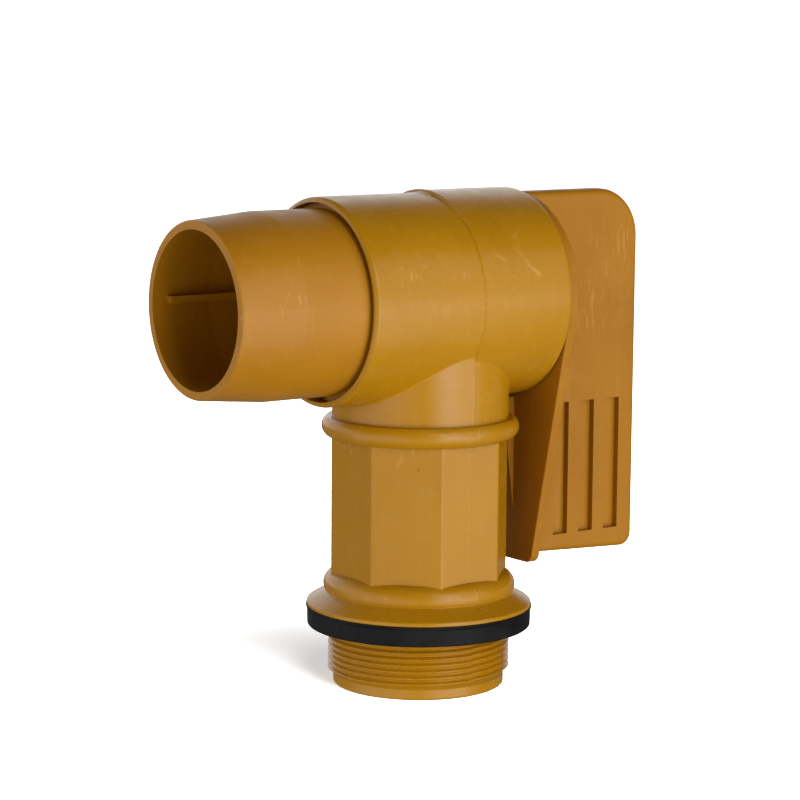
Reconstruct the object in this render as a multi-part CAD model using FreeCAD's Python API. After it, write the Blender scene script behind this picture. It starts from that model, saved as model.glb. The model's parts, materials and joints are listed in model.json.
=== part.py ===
import FreeCAD, Part
import math
import os

# A quarter-turn drum tap with a two-inch screwed inlet, moulded in plastic, in millimetres.
# It stands on the end of its inlet: the stem rises on +Z from the origin, the barrel lies
# along Y above it, the spout points to -Y and the lever hangs behind the stem on the +Y side.
# The lever, in line with the stem, is drawn with the tap open.

os.makedirs("parts", exist_ok=True)
V = FreeCAD.Vector
X_AXIS = V(1, 0, 0)
Y_AXIS = V(0, 1, 0)
Z_AXIS = V(0, 0, 1)

# Stem, from the screwed end up to the barrel
axis_height = 127.4        # barrel axis above the end of the inlet
stem_bore_r = 24.4
lead_r = 28.05             # plain ring below the thread, which starts the tap in its bung
lead_height = 3.4
lead_round = 0.8
thread_r = 29.8            # over the crests of a thread for a two-inch bung
thread_end_gap = 0.3       # from the thread's upper end to the gasket
shank_r = 28.5             # plain length above the thread, as deep as its roots
flange_z = 25.9            # face of the flange that the gasket seals on
flange_width = 7.05        # beyond the thread
flange_side = 0.6          # straight side below the flange's rounded upper edge
flange_crown = 4.85        # radius of that edge
collar_r = 31.65           # rounded collar between the flange and the octagon
collar_round = 4.05
collar_rise = 7.5          # height of the collar's widest line above the flange face
collar_foot_degrees = -28  # how far round below that line the collar's curve starts
octagon_flats = 54.7       # across flats, for a spanner
octagon_round = 1.1
octagon_skin = 0.15        # from the flats to the round core inside them
bead_r = 32.35             # rounded bead above the octagon
bead_round = 4.8
bead_drop = 42.45          # from the barrel's axis down to the bead's widest line
neck_r = 28.8

# Gasket under the flange
gasket_thickness = 6.5
gasket_overhang = 0.25     # beyond the flange
gasket_round = 1.0
gasket_clearance = 0.15

# Barrel that holds the plug
barrel_bore_r = 30.6
front_wall = 2.75
rear_wall = 3.6
front_reach = 41.3         # from the stem's axis to the lip round the spout
rear_reach = 35.6
rear_round = 1.5
mouth_recess = 1.0         # how much wider the mouth is than the bore
mouth_depth = 5.0
lip_share = 0.97           # of the lip's wall that its rounded edge takes
flash_height = 0.3         # mould line round the barrel, where its two halves meet
flash_width = 0.8
neck_fillet = 1.0          # where the neck runs into the barrel

# Port between the stem and the plug, with the seal that closes on the plug
port_r = 18.5
port_lip = 1.1             # plastic left between the port and the seal's groove
throat_length = 9.0        # cone that narrows the stem's bore to the port
throat_wall = 3.5          # plastic between the throat's top and the bottom of the bore
seal_width = 3.0
seal_depth = 2.3
seal_clearance = 0.06

# Plug and spout
run_clearance = 0.08       # radial, between the plug and the barrel's bore
spout_r = 29.7
plug_bore_r = 26.7
spout_reach = 86.0
cone_start = 63.8          # where the spout starts to taper
mouth_outer_r = 27.75
mouth_inner_r = 24.9
mouth_round = 0.6
snap_ring_gap = 0.3        # clear space round the split ring that holds the plug at the front
snap_ring_length = 2.0
snap_ring_bite = 1.2       # how deep the ring sits in the spout
snap_ring_clearance = 0.05
snap_ring_slit = 6.0
plug_end_gap = 0.4         # plug's rear end inside the barrel's rear face
guide_rib_width = 2.2
guide_rib_r = 22.9         # inner edge of the two ribs in the plug's bore
guide_rib_lift = 1.0       # the ribs lie this far above the bore's middle
guide_rib_inset = 5.6      # from the mouth to the front of the ribs
guide_rib_rear_inset = 11.0    # from the barrel's rear face to the ribs' rear end

# Sealing rings
ring_r = 1.0               # section radius of the two rings on the plug
ring_squeeze_gap = 0.03
ring_groove_width = 2.6
ring_port_gap = 2.4        # from the port's seal to the middle of the front ring
rear_ring_inset = 10.6     # from the barrel's rear face to the middle of the rear ring
hub_ring_r = 0.9
hub_ring_groove_width = 2.4
hub_ring_inset = 7.7       # from the barrel's rear face

# Lever and its hub
hub_gap = 0.3              # between the barrel's rear face and the lever's hub
hub_r = 32.6
plate_thickness = 3.5
plate_bottom_z = 37.2
plate_taper = 12.4         # slope of the plate's edges in degrees
plate_corner = 3.5
plate_edge_round = 0.5
blade_thickness = 7.8
blade_reach = 89.0
blade_front_bottom_z = 38.4
blade_rear_bottom_z = 36.2
blade_top_round = 16.5
blade_bottom_round = 4.5
blade_edge_round = 2.4
blade_root_round = 1.0
groove_count = 3
groove_first_y = 53.3
groove_pitch = 11.05
groove_width = 6.1
groove_bottom_z = 43.5
groove_top_z = 88.6
groove_depth = 2.2
gusset_rise = 2.6          # the small rib on the plate's front face
gusset_full_z = 75.0
gusset_foot_z = 54.5
gusset_clearance = 1.0     # from the barrel's outside to the end of that rib

# Spigot that joins the lever to the plug
spigot_clearance = 0.05
spigot_wall = 3.75
spigot_length = 15.4
slot_clearance = 0.1
pin_r = 1.5
pin_inset = 3.4            # from the barrel's rear face to the pins' axis
pin_clearance = 0.05
pin_length = 6.8

# Stop of a quarter turn: a lug on the hub in an arc cut in the barrel's rear end
turn_degrees = 90.0
stop_recess = 1.8
stop_depth = 3.2
lug_degrees = 10.0
stop_clearance = 0.35

# Sizes that follow from those above
bead_z = axis_height - bead_drop
thread_end_z = flange_z - gasket_thickness - thread_end_gap
flange_r = thread_r + flange_width
gasket_r = flange_r + gasket_overhang
plug_r = barrel_bore_r - run_clearance
front_r = barrel_bore_r + front_wall
rear_r = barrel_bore_r + rear_wall
mouth_r = barrel_bore_r + mouth_recess
hub_y = rear_reach + hub_gap
plate_back_y = hub_y + plate_thickness
plug_rear_y = rear_reach - plug_end_gap
snap_ring_y = -front_reach + mouth_depth - snap_ring_gap - snap_ring_length
spigot_r = plug_bore_r - spigot_clearance
seal_in_r = port_r + port_lip
seal_out_r = seal_in_r + seal_width
ring_ys = (-seal_out_r - ring_port_gap, rear_reach - rear_ring_inset)
hub_ring_y = rear_reach - hub_ring_inset
pin_y = rear_reach - pin_inset
guide_rib_rear = rear_reach - guide_rib_rear_inset
throat_top_z = axis_height - barrel_bore_r - throat_wall


def export(name, shape):
    shape.exportStep(os.path.join("parts", name + ".step"))


def rod_y(radius, y0, y1):
    """A round bar on the barrel's axis from y0 to y1."""
    return Part.makeCylinder(radius, y1 - y0, V(0, y0, axis_height), Y_AXIS)


def tube_y(inner, outer, y0, y1):
    return rod_y(outer, y0, y1).cut(rod_y(inner, y0, y1))


def rod_z(radius, z0, z1):
    """A round bar on the stem's axis from z0 to z1."""
    return Part.makeCylinder(radius, z1 - z0, V(0, 0, z0), Z_AXIS)


def tube_z(inner, outer, z0, z1):
    return rod_z(outer, z0, z1).cut(rod_z(inner, z0, z1))


def line(a, b):
    return Part.LineSegment(a, b).toShape()


def arc(a, middle, b):
    return Part.Arc(a, middle, b).toShape()


def stem_point(radius, z):
    return V(radius, 0, z)


def barrel_point(radius, y):
    return V(0, y, axis_height + radius)


def bulge(centre, radius, degrees, point):
    """The point at an angle on a circle of a profile, through point(radius, place)."""
    turn = math.radians(degrees)
    return point(centre[0] + radius * math.cos(turn), centre[1] + radius * math.sin(turn))


def turned(edges, base, axis):
    """The solid swept by a closed profile about an axis."""
    return Part.Face(Part.Wire(Part.__sortEdges__(edges))).revolve(base, axis, 360)


def stem_outside():
    """Screwed end, flange, collar, bead and neck, turned in one profile about the stem."""
    thread_z = lead_height + thread_r - lead_r
    flange_centre = (flange_r - flange_crown, flange_z + flange_side)
    collar_centre = (collar_r - collar_round, flange_z + collar_rise)
    bead_centre = (bead_r - bead_round, bead_z)
    core_r = octagon_flats / 2 - octagon_skin
    bead_start = -math.degrees(math.acos((core_r - bead_centre[0]) / bead_round))
    bead_end = math.degrees(math.acos((neck_r - bead_centre[0]) / bead_round))
    edge = lead_round * (1 - math.sqrt(0.5))
    p = stem_point
    axis_bottom = p(0, 0)
    end_face = p(lead_r - lead_round, 0)
    lead_foot = p(lead_r, lead_round)
    lead_top = p(lead_r, lead_height)
    thread_foot = p(thread_r, thread_z)
    thread_top = p(thread_r, thread_end_z)
    shank_foot = p(shank_r, thread_end_z)
    shank_top = p(shank_r, flange_z)
    flange_foot = p(flange_r, flange_z)
    flange_edge = bulge(flange_centre, flange_crown, 0, p)
    flange_mid = bulge(flange_centre, flange_crown, 45, p)
    flange_top = bulge(flange_centre, flange_crown, 90, p)
    collar_foot = bulge(collar_centre, collar_round, collar_foot_degrees, p)
    collar_mid = bulge(collar_centre, collar_round, 30, p)
    collar_top = bulge(collar_centre, collar_round, 90, p)
    collar_core = p(core_r, collar_top.z)
    bead_foot = bulge(bead_centre, bead_round, bead_start, p)
    bead_mid = bulge(bead_centre, bead_round, 0, p)
    bead_top = bulge(bead_centre, bead_round, bead_end, p)
    neck_top = p(neck_r, axis_height)
    axis_top = p(0, axis_height)
    edges = [
        line(axis_bottom, end_face),
        arc(end_face, p(lead_r - edge, edge), lead_foot),
        line(lead_foot, lead_top),
        line(lead_top, thread_foot),
        line(thread_foot, thread_top),
        line(thread_top, shank_foot),
        line(shank_foot, shank_top),
        line(shank_top, flange_foot),
        line(flange_foot, flange_edge),
        arc(flange_edge, flange_mid, flange_top),
        line(flange_top, collar_foot),
        arc(collar_foot, collar_mid, collar_top),
        line(collar_top, collar_core),
        line(collar_core, bead_foot),
        arc(bead_foot, bead_mid, bead_top),
        line(bead_top, neck_top),
        line(neck_top, axis_top),
        line(axis_top, axis_bottom),
    ]
    return turned(edges, V(0, 0, 0), Z_AXIS)


def octagon():
    """Eight flats between the collar and the bead, with two of them square to the barrel."""
    corner_r = octagon_flats / 2 / math.cos(math.radians(22.5))
    z0 = flange_z + collar_rise
    corners = []
    for i in range(8):
        turn = math.radians(22.5 + 45 * i)
        corners.append(V(corner_r * math.cos(turn), corner_r * math.sin(turn), z0))
    corners.append(corners[0])
    prism = Part.Face(Part.makePolygon(corners)).extrude(V(0, 0, bead_z - z0))
    upright = [edge for edge in prism.Edges if edge.BoundBox.ZLength > 1]
    return prism.makeFillet(octagon_round, upright)


def barrel_half(side, radius, reach, edge_round):
    """One moulded half of the barrel, solid, with its outer edge rounded; side is -1 or 1."""
    slant = 1 - math.sqrt(0.5)
    p = barrel_point
    middle = p(0, 0)
    seam = p(radius, 0)
    side_end = p(radius, side * (reach - edge_round))
    edge_mid = p(radius - edge_round * slant, side * (reach - edge_round * slant))
    face_edge = p(radius - edge_round, side * reach)
    face_middle = p(0, side * reach)
    edges = [
        line(middle, seam),
        line(seam, side_end),
        arc(side_end, edge_mid, face_edge),
        line(face_edge, face_middle),
        line(face_middle, middle),
    ]
    return turned(edges, V(0, 0, axis_height), Y_AXIS)


def body_half(side, radius, reach, edge_round):
    """Half of the tee, to one side of the mould's parting plane, with the neck run in."""
    room = 2 * (axis_height + rear_r)
    corner = V(-room / 2, min(0, side * room), -room / 4)
    stem = stem_outside().fuse(octagon()).common(Part.makeBox(room, room, room, corner))
    half = stem.fuse(barrel_half(side, radius, reach, edge_round)).removeSplitter()
    joint = []
    for edge in half.Edges:
        middle = edge.valueAt((edge.FirstParameter + edge.LastParameter) / 2)
        off_stem = abs(math.hypot(middle.x, middle.y) - neck_r)
        off_barrel = abs(math.hypot(middle.x, middle.z - axis_height) - radius)
        if off_stem < 0.02 and off_barrel < 0.02:
            joint.append(edge)
    return half.makeFillet(neck_fillet, joint)


def flash_line():
    """The low ridge round the barrel where the mould's halves meet."""
    p = barrel_point
    inner_r = front_r - 1
    front_foot = p(front_r, -flash_width / 2)
    front_inner = p(inner_r, -flash_width / 2)
    crest = p(rear_r + flash_height, 0)
    rear_foot = p(rear_r, flash_width / 2)
    rear_inner = p(inner_r, flash_width / 2)
    edges = [
        line(front_inner, front_foot),
        line(front_foot, crest),
        line(crest, rear_foot),
        line(rear_foot, rear_inner),
        line(rear_inner, front_inner),
    ]
    return turned(edges, V(0, 0, axis_height), Y_AXIS)


def seal_ring_shape(inner, outer, top_r, floor_r):
    """A ring about the stem's axis, bent to the barrel: its faces are parts of two cylinders."""
    ring = tube_z(inner, outer, axis_height - floor_r - 1, axis_height)
    return ring.common(tube_y(top_r, floor_r, -outer - 1, outer + 1))


def stop_arc():
    """The arc cut in the barrel's rear end, in which the lug on the hub turns."""
    outer = barrel_bore_r + stop_recess
    side = math.degrees(stop_clearance / outer)
    sweep = turn_degrees + lug_degrees + 2 * side
    start = lug_degrees / 2 + side
    disc = Part.makeCylinder(outer, stop_depth, V(0, rear_reach - stop_depth, axis_height), Y_AXIS, sweep)
    disc.rotate(V(0, 0, axis_height), Y_AXIS, start - sweep)
    return disc


def tap_body():
    """The tee of stem and barrel, bored through, with the port, its seal's groove and the stop."""
    lip_round = lip_share * (front_wall - mouth_recess)
    front = body_half(-1, front_r, front_reach, lip_round)
    rear = body_half(1, rear_r, rear_reach, rear_round)
    body = front.fuse([rear, flash_line()]).removeSplitter()
    body = body.cut(rod_z(stem_bore_r, -1, throat_top_z - throat_length))
    cone = Part.makeCone(
        stem_bore_r, port_r, throat_length, V(0, 0, throat_top_z - throat_length), Z_AXIS
    )
    body = body.cut(cone)
    body = body.cut(rod_z(port_r, throat_top_z - 0.01, axis_height))
    body = body.cut(rod_y(barrel_bore_r, -front_reach - 1, rear_reach + 1))
    body = body.cut(rod_y(mouth_r, -front_reach - 1, -front_reach + mouth_depth))
    groove = seal_ring_shape(
        seal_in_r, seal_out_r, barrel_bore_r - 1, barrel_bore_r + seal_depth
    )
    body = body.cut(groove)
    return body.cut(stop_arc())


def port_seal():
    """The rubber ring round the port, flush with the bore that the plug turns in."""
    return seal_ring_shape(
        seal_in_r + seal_clearance,
        seal_out_r - seal_clearance,
        barrel_bore_r,
        barrel_bore_r + seal_depth - seal_clearance,
    )


def inlet_gasket():
    """The flat ring between the flange and the drum, with its outer edges broken."""
    ring = tube_z(thread_r + gasket_clearance, gasket_r, flange_z - gasket_thickness, flange_z)
    outer_edges = []
    for edge in ring.Edges:
        curve = edge.Curve
        if isinstance(curve, Part.Circle) and curve.Radius > gasket_r - 0.01:
            outer_edges.append(edge)
    return ring.makeFillet(gasket_round, outer_edges)


def ring_groove(y, groove_r, section_r, width):
    return tube_y(groove_r, groove_r + 3 * section_r, y - width / 2, y + width / 2)


def plug_outside():
    """The plug, the groove for its split ring and the tapered spout, turned in one profile."""
    slant = mouth_round * (1 - math.sqrt(0.5))
    groove_floor = spout_r - snap_ring_bite
    groove_back = snap_ring_y + snap_ring_length + snap_ring_clearance
    groove_front = snap_ring_y - snap_ring_clearance
    p = barrel_point
    tip_in = p(mouth_outer_r - mouth_round, -spout_reach)
    tip_mid = p(mouth_outer_r - slant, -spout_reach + slant)
    tip_out = p(mouth_outer_r, -spout_reach + mouth_round)
    cone_end = p(spout_r, -cone_start)
    front_top = p(spout_r, groove_front)
    front_foot = p(groove_floor, groove_front)
    back_foot = p(groove_floor, groove_back)
    back_top = p(plug_r, groove_back)
    rear_side = p(plug_r, plug_rear_y)
    rear_centre = p(0, plug_rear_y)
    tip_centre = p(0, -spout_reach)
    edges = [
        line(tip_centre, tip_in),
        arc(tip_in, tip_mid, tip_out),
        line(tip_out, cone_end),
        line(cone_end, front_top),
        line(front_top, front_foot),
        line(front_foot, back_foot),
        line(back_foot, back_top),
        line(back_top, rear_side),
        line(rear_side, rear_centre),
        line(rear_centre, tip_centre),
    ]
    return turned(edges, V(0, 0, axis_height), Y_AXIS)


def plug_inside():
    """The bore, which narrows with the spout so that its wall keeps one thickness."""
    p = barrel_point
    front_centre = p(0, -spout_reach - 1)
    mouth = p(mouth_inner_r, -spout_reach - 1)
    mouth_edge = p(mouth_inner_r, -spout_reach)
    cone_end = p(plug_bore_r, -cone_start)
    rear_side = p(plug_bore_r, plug_rear_y + 1)
    rear_centre = p(0, plug_rear_y + 1)
    edges = [
        line(front_centre, mouth),
        line(mouth, mouth_edge),
        line(mouth_edge, cone_end),
        line(cone_end, rear_side),
        line(rear_side, rear_centre),
        line(rear_centre, front_centre),
    ]
    return turned(edges, V(0, 0, axis_height), Y_AXIS)


def guide_ribs():
    """Two ribs on the sides of the bore, which key the lever's spigot to the plug."""
    y0 = -spout_reach + guide_rib_inset
    bar = Part.makeBox(
        2 * spout_r,
        guide_rib_rear - y0,
        guide_rib_width,
        V(-spout_r, y0, axis_height + guide_rib_lift - guide_rib_width / 2),
    )
    return bar.cut(rod_y(guide_rib_r, y0 - 1, guide_rib_rear + 1))


def lock_pin(side, radius, length):
    start = side * (plug_r - 0.3)
    return Part.makeCylinder(radius, length, V(start, pin_y, axis_height), V(-side, 0, 0))


def spout_plug():
    """The turning plug and spout in one moulding, with its port over the stem."""
    outside = plug_outside()
    ribs = guide_ribs().common(outside)
    plug = outside.cut(plug_inside()).fuse(ribs).removeSplitter()
    plug = plug.cut(rod_z(port_r, throat_top_z, axis_height))
    floor_r = barrel_bore_r - 2 * (ring_squeeze_gap + ring_r)
    for y in ring_ys:
        plug = plug.cut(ring_groove(y, floor_r, ring_r, ring_groove_width))
    for side in (-1, 1):
        plug = plug.cut(lock_pin(side, pin_r + pin_clearance, pin_length).translated(V(side * 0.4, 0, 0)))
    return plug


def snap_ring():
    """The split ring in the barrel's mouth that keeps the plug from leaving backwards."""
    inner = spout_r - snap_ring_bite + snap_ring_clearance
    ring = tube_y(inner, mouth_r - snap_ring_gap, snap_ring_y, snap_ring_y + snap_ring_length)
    corner = V(-snap_ring_slit / 2, snap_ring_y - 1, axis_height - mouth_r - 1)
    return ring.cut(Part.makeBox(snap_ring_slit, snap_ring_length + 2, mouth_r, corner))


def plug_ring(y):
    centre_r = barrel_bore_r - ring_squeeze_gap - ring_r
    return Part.makeTorus(centre_r, ring_r, V(0, y, axis_height), Y_AXIS)


def hub_ring():
    centre_r = plug_bore_r - ring_squeeze_gap - hub_ring_r
    return Part.makeTorus(centre_r, hub_ring_r, V(0, hub_ring_y, axis_height), Y_AXIS)


def plate():
    """The lever's flat plate: a disc that covers the barrel's end, tapering straight downwards."""
    turn = math.radians(plate_taper)
    tangent = V(hub_r * math.cos(turn), hub_y, axis_height - hub_r * math.sin(turn))
    drop = tangent.z - plate_bottom_z
    foot = tangent.x - drop * math.tan(turn)
    left_tangent = V(-tangent.x, hub_y, tangent.z)
    left_foot = V(-foot, hub_y, plate_bottom_z)
    right_foot = V(foot, hub_y, plate_bottom_z)
    edges = [
        arc(tangent, V(0, hub_y, axis_height + hub_r), left_tangent),
        line(left_tangent, left_foot),
        line(left_foot, right_foot),
        line(right_foot, tangent),
    ]
    solid = Part.Face(Part.Wire(edges)).extrude(V(0, plate_thickness, 0))
    corners = []
    for edge in solid.Edges:
        low = edge.BoundBox.ZMax < plate_bottom_z + 0.01
        if low and edge.BoundBox.YLength > plate_thickness / 2:
            corners.append(edge)
    solid = solid.makeFillet(plate_corner, corners)
    rims = [edge for edge in solid.Edges if edge.BoundBox.YLength < 0.01]
    return solid.makeFillet(plate_edge_round, rims)


def blade():
    """The upright blade behind the plate, rounded on its free edges."""
    slant = 1 - math.sqrt(0.5)
    top_z = axis_height + hub_r
    start_y = hub_y + plate_thickness / 2
    x = -blade_thickness / 2
    top_front = V(x, start_y, top_z)
    top_end = V(x, blade_reach - blade_top_round, top_z)
    top_mid = V(x, blade_reach - blade_top_round * slant, top_z - blade_top_round * slant)
    rear_top = V(x, blade_reach, top_z - blade_top_round)
    rear_low = V(x, blade_reach, blade_rear_bottom_z + blade_bottom_round)
    low_mid = V(
        x,
        blade_reach - blade_bottom_round * slant,
        blade_rear_bottom_z + blade_bottom_round * slant,
    )
    low_rear = V(x, blade_reach - blade_bottom_round, blade_rear_bottom_z)
    low_front = V(x, start_y, blade_front_bottom_z)
    edges = [
        line(top_front, top_end),
        arc(top_end, top_mid, rear_top),
        line(rear_top, rear_low),
        arc(rear_low, low_mid, low_rear),
        line(low_rear, low_front),
        line(low_front, top_front),
    ]
    solid = Part.Face(Part.Wire(edges)).extrude(V(blade_thickness, 0, 0))
    rims = []
    for edge in solid.Edges:
        box = edge.BoundBox
        if box.XLength < 0.01 and box.YMax > start_y + 0.01:
            rims.append(edge)
    return solid.makeFillet(blade_edge_round, rims)


def grip_grooves():
    """Upright grooves in both faces of the blade."""
    cutters = []
    for i in range(groove_count):
        y = groove_first_y + i * groove_pitch
        for x in (-blade_thickness / 2 - 1, blade_thickness / 2 - groove_depth):
            cutters.append(
                Part.makeBox(
                    groove_depth + 1, groove_width, groove_top_z - groove_bottom_z, V(x, y, groove_bottom_z)
                )
            )
    return cutters


def gusset():
    """The low rib on the front of the plate, as thick as the blade, that fades out downwards."""
    top_z = axis_height - rear_r - gusset_clearance
    x = -blade_thickness / 2
    back_y = hub_y + plate_thickness / 2
    corners = [
        V(x, back_y, gusset_foot_z),
        V(x, hub_y, gusset_foot_z),
        V(x, hub_y - gusset_rise, gusset_full_z),
        V(x, hub_y - gusset_rise, top_z),
        V(x, back_y, top_z),
    ]
    corners.append(corners[0])
    return Part.Face(Part.makePolygon(corners)).extrude(V(blade_thickness, 0, 0))


def spigot():
    """The cup on the hub's front that closes the plug's rear end."""
    front_y = hub_y - spigot_length
    cup = tube_y(spigot_r - spigot_wall, spigot_r, front_y, plate_back_y - plate_thickness / 2)
    floor_r = plug_bore_r - 2 * (ring_squeeze_gap + hub_ring_r)
    cup = cup.cut(ring_groove(hub_ring_y, floor_r, hub_ring_r, hub_ring_groove_width))
    slot_end = guide_rib_rear + slot_clearance
    slot_width = guide_rib_width + 2 * slot_clearance
    slot = Part.makeBox(
        2 * spout_r,
        slot_end - front_y + 1,
        slot_width,
        V(-spout_r, front_y - 1, axis_height + guide_rib_lift - slot_width / 2),
    )
    cup = cup.cut(slot)
    for side in (-1, 1):
        cup = cup.cut(lock_pin(side, pin_r + pin_clearance, pin_length + pin_clearance))
    return cup


def stop_lug():
    """The lug on the hub's front face, which meets the ends of the arc in the barrel."""
    outer = barrel_bore_r + stop_recess - stop_clearance
    inner = plug_r + stop_clearance
    length = hub_gap + stop_depth - stop_clearance
    height = V(0, hub_y - length, axis_height)
    wedge = Part.makeCylinder(outer, length + plate_thickness / 2, height, Y_AXIS, lug_degrees)
    wedge.rotate(V(0, 0, axis_height), Y_AXIS, -lug_degrees / 2)
    return wedge.cut(rod_y(inner, height.y - 1, hub_y + plate_thickness))


def handle():
    """Hub, plate, blade, rib, spigot and stop lug in one moulding."""
    lever = plate().fuse([blade(), gusset()]).removeSplitter()
    roots = []
    for edge in lever.Edges:
        box = edge.BoundBox
        at_blade = abs(max(abs(box.XMin), abs(box.XMax)) - blade_thickness / 2) < 0.01
        if at_blade and box.XLength < 0.01 and abs(box.YMin - plate_back_y) + box.YLength < 0.01:
            roots.append(edge)
    lever = lever.makeFillet(blade_root_round, roots)
    for cutter in grip_grooves():
        lever = lever.cut(cutter)
    return lever.fuse([spigot(), stop_lug()]).removeSplitter()


def lock_pins():
    """Two short pins that hold the spigot in the plug, kept in place by the barrel's bore."""
    return Part.makeCompound([lock_pin(side, pin_r, pin_length) for side in (-1, 1)])


export("tap_body", tap_body())
export("inlet_gasket", inlet_gasket())
export("port_seal", port_seal())
export("spout_plug", spout_plug())
export("snap_ring", snap_ring())
export("plug_ring_front", plug_ring(ring_ys[0]))
export("plug_ring_rear", plug_ring(ring_ys[1]))
export("handle", handle())
export("hub_ring", hub_ring())
export("lock_pins", lock_pins())
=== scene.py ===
# %% [markdown]
# # A moulded drum tap, dressed in Blender
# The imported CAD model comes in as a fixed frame: every part is already at its real size and in
# its real place, in metres. The stem stands on the floor, the spout points to -Y and the lever
# hangs behind it. This lesson adds what a photograph shows and a plain solid doesn't: the screw
# thread, the marks that the mould left, scuffs, and the finish of ochre plastic and rubber.

# %% Load the frame
import bpy
import json
import math
import numpy as np
from mathutils import Matrix, Vector


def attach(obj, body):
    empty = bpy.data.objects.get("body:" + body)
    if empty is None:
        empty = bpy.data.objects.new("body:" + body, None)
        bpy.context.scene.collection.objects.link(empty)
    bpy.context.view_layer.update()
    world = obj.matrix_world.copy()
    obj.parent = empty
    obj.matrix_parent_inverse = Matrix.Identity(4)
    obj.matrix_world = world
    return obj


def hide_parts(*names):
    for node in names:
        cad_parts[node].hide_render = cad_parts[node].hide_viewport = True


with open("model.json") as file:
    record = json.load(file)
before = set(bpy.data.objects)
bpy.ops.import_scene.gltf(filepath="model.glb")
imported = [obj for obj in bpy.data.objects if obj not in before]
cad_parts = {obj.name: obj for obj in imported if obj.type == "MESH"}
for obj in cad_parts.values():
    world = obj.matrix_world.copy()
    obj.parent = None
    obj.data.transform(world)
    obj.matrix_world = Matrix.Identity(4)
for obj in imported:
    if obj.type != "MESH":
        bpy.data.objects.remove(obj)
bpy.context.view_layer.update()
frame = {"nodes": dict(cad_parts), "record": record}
nodes = frame["nodes"]
MM = 0.001
print("nodes:", sorted(nodes))

# %% [markdown]
# ## Camera
# A long lens from a low three-quarter view, as a product photographer would choose it. The
# camera looks from its place to a point inside the tap, and is turned a little about that line.

# %% Camera at the photograph's angle
CAMERA_AZIMUTH = math.radians(54.06)
CAMERA_ELEVATION = math.radians(8.11)
CAMERA_ROLL = math.radians(0.436)
CAMERA_DISTANCE = 869.7 * MM
CAMERA_TARGET = Vector((-3.29, -5.82, 93.34)) * MM
FOCAL_LENGTH_PX = 2674
IMAGE_PX = 800
SENSOR_MM = 36.0

camera_data = bpy.data.cameras.new("camera")
camera_data.sensor_width = SENSOR_MM
camera_data.lens = FOCAL_LENGTH_PX / IMAGE_PX * SENSOR_MM
camera = bpy.data.objects.new("camera", camera_data)
bpy.context.scene.collection.objects.link(camera)
back = Vector((
    math.sin(CAMERA_AZIMUTH) * math.cos(CAMERA_ELEVATION),
    -math.cos(CAMERA_AZIMUTH) * math.cos(CAMERA_ELEVATION),
    math.sin(CAMERA_ELEVATION),
))
camera.rotation_mode = "QUATERNION"
camera.location = CAMERA_TARGET + back * CAMERA_DISTANCE
camera.rotation_quaternion = (
    Matrix.Rotation(CAMERA_ROLL, 4, back) @ (-back).to_track_quat("-Z", "Y").to_matrix().to_4x4()
).to_quaternion()
bpy.context.scene.camera = camera
print("camera at", [round(v, 4) for v in camera.location])

# %% [markdown]
# ## Meshes from arrays
# Every new surface here is worked out with numpy as one array of points on a grid, and put into
# a mesh in one go. The grid is closed where its last column should meet its first.

# %% Helpers that turn arrays into objects
def mesh_object(name, points, faces, smooth=True):
    """An object at the origin from an array of points and a list of faces."""
    mesh = bpy.data.meshes.new(name)
    mesh.from_pydata(np.asarray(points, float).tolist(), [], [list(map(int, f)) for f in faces])
    mesh.polygons.foreach_set("use_smooth", [smooth] * len(mesh.polygons))
    mesh.update()
    obj = bpy.data.objects.new(name, mesh)
    bpy.context.scene.collection.objects.link(obj)
    return obj


def grid_faces(rows, columns, closed=True, first=0):
    """Quads of a grid of points, row by row, with the last column joined to the first if closed."""
    row = np.arange(rows - 1)[:, None] * columns
    column = np.arange(columns if closed else columns - 1)[None, :]
    following = (column + 1) % columns
    quads = np.stack([row + column, row + following, row + columns + following, row + columns + column], -1)
    return quads.reshape(-1, 4) + first


def finish_piece(obj, body, material):
    """Gives a piece its finish and its place among the bodies."""
    obj.data.materials.clear()
    obj.data.materials.append(material)
    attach(obj, body)
    triangles = sum(len(p.vertices) - 2 for p in obj.data.polygons)
    print(f"{obj.name}: {triangles} triangles, rides on {body}")
    return obj

# %% [markdown]
# ## Building finishes from nodes
# A finish is a small network of nodes that feeds one Principled shader. The helper below makes a
# node, sets its choices and fills its inputs, either with a value or with another node's output,
# so each network reads like a list of steps.

# %% Helpers for node networks
def add(tree, kind, inputs=None, **choices):
    """A new node; inputs maps a socket's name or number to a value or to another node's output."""
    node = tree.nodes.new(kind)
    for choice, value in choices.items():
        setattr(node, choice, value)
    for socket, value in (inputs or {}).items():
        if isinstance(value, bpy.types.NodeSocket):
            tree.links.new(value, node.inputs[socket])
        else:
            node.inputs[socket].default_value = value
    return node


def maths(tree, operation, a, b=0.0, clamp=False):
    return add(tree, "ShaderNodeMath", {0: a, 1: b}, operation=operation, use_clamp=clamp).outputs[0]


def ramp(tree, value, low, high, to_low=0.0, to_high=1.0):
    """value carried smoothly from to_low at low to to_high at high."""
    inputs = {"Value": value, "From Min": low, "From Max": high, "To Min": to_low, "To Max": to_high}
    return add(tree, "ShaderNodeMapRange", inputs, interpolation_type="SMOOTHSTEP").outputs["Result"]


def noise(tree, where, scale, detail=3.0, roughness=0.55, distortion=0.0):
    inputs = {"Vector": where, "Scale": scale, "Detail": detail, "Roughness": roughness}
    inputs["Distortion"] = distortion
    return add(tree, "ShaderNodeTexNoise", inputs).outputs["Fac"]


def blend_colour(tree, factor, a, b):
    """Colour a where factor is 0, and b where it is 1."""
    node = add(tree, "ShaderNodeMix", data_type="RGBA")
    for socket, value in ((0, factor), (6, a), (7, b)):
        if isinstance(value, bpy.types.NodeSocket):
            tree.links.new(value, node.inputs[socket])
        else:
            node.inputs[socket].default_value = value
    return node.outputs[2]


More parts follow.
